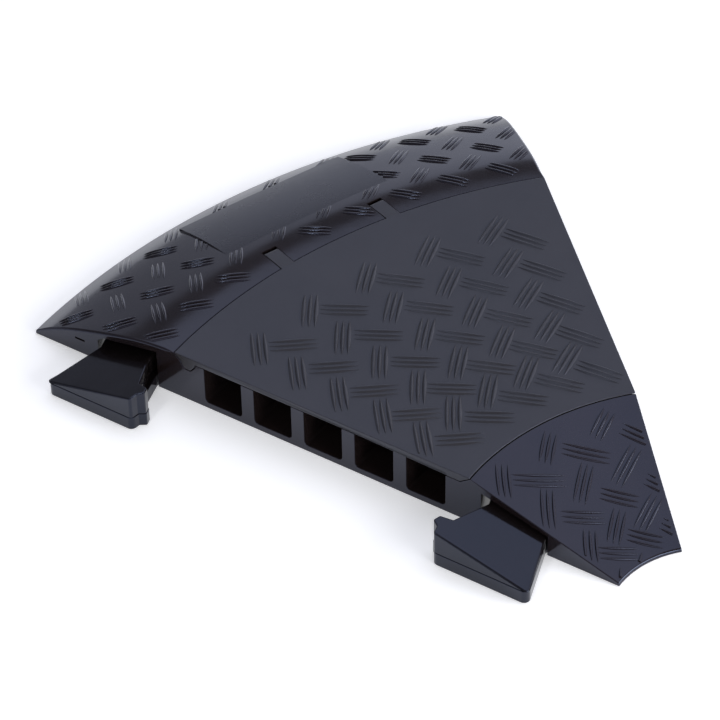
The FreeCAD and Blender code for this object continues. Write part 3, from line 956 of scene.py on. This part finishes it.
def paint_panel(casting, material):
    """The panel's own faces, which look upwards and lie above the sockets, get the panel's finish."""
    casting.data.materials.append(material)
    inner_y, outer_y = PANEL_CURVE[0][0], PANEL_CURVE[-1][0]
    for face in casting.data.polygons:
        x, y, z = face.center / MM
        on_panel = abs(x) < PANEL_HALF_WIDTH and inner_y < y < outer_y and z > PANEL_LOWEST_Z
        if on_panel and face.normal.z > 0.5:
            face.material_index = 1


# ---------------------------------------------------------------- build

materials = make_materials()

casting = make_casting()
casting.data.materials.append(materials["casting"])
paint_panel(casting, materials["panel"])
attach(casting, "base")
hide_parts("outer_ramp", "inner_ramp", "channel_floor",
            "divider_1", "divider_2", "divider_3", "divider_4")

lid = make_lid()
lid.data.materials.append(materials["lid"])
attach(lid, "lid")
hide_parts("cover_lid")

for bank, word in ((OUTER, "outer"), (INNER, "inner")):
    key = make_key(word + "_connector_key", NEAR, bank)
    key.data.materials.append(materials["key"])
    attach(key, word + "_key")
    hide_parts("connector_key_" + word)

clear_on_inner_ramp = clear_on(INNER_EDGE_R + LIP_MARGIN, INNER_RAMP_LINE[0][0] - SEAM_MARGIN)
clear_on_lid = clear_on(LID_INNER_R + SEAM_MARGIN, LID_OUTER_R - SEAM_MARGIN)
TREADS = [
    ("tread_outer_ramp", OUTER_ROWS, outer_height, clear_on_outer_ramp, OUTER_RIB, CRISP_SECTION,
     "casting", "base", "base_rubber"),
    ("tread_inner_ramp", INNER_ROWS, inner_height, clear_on_inner_ramp, INNER_RIB, CRISP_SECTION,
     "casting", "base", "base_rubber"),
    ("tread_lid", LID_ROWS, lid_height, clear_on_lid, LID_RIB, SOFT_SECTION,
     "lid", "lid", "lid_plastic"),
]
for name, rows, height, allowed, rib_size, section, finish, body, slot in TREADS:
    tread = make_tread(name, rows, height, allowed, rib_size, section)
    tread.data.materials.append(materials[finish])
    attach(tread, body)

for node in ("hinge_rod_near", "hinge_rod_far"):
    for material_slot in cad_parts[node].material_slots:
        material_slot.material = materials["rod"]


# ---------------------------------------------------------------- floor, light and camera

GROUND_HALF = 6000.0
GROUND_Z = -0.2
GROUND_TONE = (0.96, 0.96, 0.96, 1)
GROUND_GLOW = 0.36

# Sky: away is level and points to the far side, right is level and square to it. Each span below is
# (from, to), with the level at each end where it isn't 0 and 1.
SKY_AWAY = (0.565, 0.825, 0)
SKY_RIGHT = (0.825, -0.565, 0)
WALL_TOP = (0.345, 0.39, 1.0, 0.0)
WALL_ACROSS = (-0.25, 0.15, 0.36, 1.4)
CEILING_START = (0.535, 0.57)
CEILING_RISE = (0.6, 0.9, 0.95, 1.25)
CEILING_AWAY = (0.0, 0.12)
CEILING_LEFT = (-0.55, -0.35)
CEILING_RIGHT = (0.80, 0.62)
CEILING_LEVEL = 1.05
DARK_LEVEL = 0.16
SKY_TINT = (0.93, 0.96, 1.10)
BACKDROP = (0.96, 0.96, 0.96, 1)

# Lamps that face the origin: name, place and (width, height) in metres, and power in watts
LAMPS = [
    ("left_strip", (-1.30, -0.42, 1.44), (0.14, 0.6), 4.2),
    ("front_softbox", (0.92, -1.82, 0.86), (2.4, 0.7), 40.0),
]

# Camera: (azimuth, elevation, roll), the point it aims at, and how far away it stands
CAMERA_ANGLES = (-34.42, 42.71, -1.18)
CAMERA_AIM = (-42.7, 41.3, 0)
CAMERA_DISTANCE = 2549.63
CAMERA_LENS = 158.05
CAMERA_SENSOR = 36.0


def make_floor():
    corners = [Vector((x * GROUND_HALF, y * GROUND_HALF, GROUND_Z))
               for x, y in ((-1, -1), (1, -1), (1, 1), (-1, 1))]
    floor = new_piece("floor", corners, [[0, 1, 2, 3]])
    material, _, shader = new_material("white_floor", roughness=0.9, specular=0.0)
    shader.inputs["Base Color"].default_value = GROUND_TONE
    shader.inputs["Emission Color"].default_value = (1, 1, 1, 1)
    shader.inputs["Emission Strength"].default_value = GROUND_GLOW
    floor.data.materials.append(material)


def make_sky():
    """Soft studio surroundings: bright low walls, and a wide bright ceiling on the far side only."""
    world = bpy.data.worlds.new("studio")
    bpy.context.scene.world = world
    world.use_nodes = True
    s = Shader(world.node_tree)
    background = world.node_tree.nodes["Background"]
    direction = s.add("ShaderNodeTexCoord").outputs["Generated"]
    up = s.add("ShaderNodeSeparateXYZ", {0: direction}).outputs["Z"]
    away = s.dot(direction, SKY_AWAY)
    right = s.dot(direction, SKY_RIGHT)
    walls = s.math("MULTIPLY", s.spread(up, *WALL_TOP), s.spread(right, *WALL_ACROSS))
    ceiling = s.math("MULTIPLY", s.spread(up, *CEILING_START), s.spread(up, *CEILING_RISE))
    for value, span in ((away, CEILING_AWAY), (right, CEILING_LEFT), (right, CEILING_RIGHT)):
        ceiling = s.math("MULTIPLY", ceiling, s.spread(value, *span))
    brightest = s.math("MAXIMUM", walls, ceiling)
    level = s.math("MULTIPLY_ADD", brightest, CEILING_LEVEL - DARK_LEVEL, DARK_LEVEL)
    tinted = {k: s.math("MULTIPLY", level, share) for k, share in enumerate(SKY_TINT)}
    colour = s.add("ShaderNodeCombineXYZ", tinted).outputs[0]
    seen = s.add("ShaderNodeLightPath").outputs["Is Camera Ray"]
    s.feed(background.inputs["Color"], s.mix_colour(seen, colour, BACKDROP))


def area_light(name, place, size, power):
    data = bpy.data.lights.new(name, "AREA")
    data.shape = "RECTANGLE"
    data.size, data.size_y = size
    data.energy = power
    light = bpy.data.objects.new(name, data)
    light.location = place
    light.rotation_mode = "QUATERNION"
    light.rotation_quaternion = (-Vector(place)).to_track_quat("-Z", "Y")
    bpy.context.scene.collection.objects.link(light)


def make_camera():
    azimuth, elevation, roll = (math.radians(angle) for angle in CAMERA_ANGLES)
    level_reach = math.cos(elevation)
    back = Vector((math.sin(azimuth) * level_reach, -math.cos(azimuth) * level_reach,
                   math.sin(elevation)))
    right = (-back).cross(Vector((0, 0, 1))).normalized()
    up = right.cross(-back)
    rolled_right = right * math.cos(roll) + up * math.sin(roll)
    rolled_up = up * math.cos(roll) - right * math.sin(roll)
    data = bpy.data.cameras.new("camera")
    data.lens = CAMERA_LENS
    data.sensor_width = CAMERA_SENSOR
    camera = bpy.data.objects.new("camera", data)
    turn = Matrix((rolled_right, rolled_up, back)).transposed()
    place = (Vector(CAMERA_AIM) + back * CAMERA_DISTANCE) * MM
    camera.matrix_world = Matrix.Translation(place) @ turn.to_4x4()
    bpy.context.scene.collection.objects.link(camera)
    bpy.context.scene.camera = camera


make_floor()
make_sky()
for lamp in LAMPS:
    area_light(*lamp)
make_camera()
bpy.context.scene.view_settings.view_transform = "Standard"
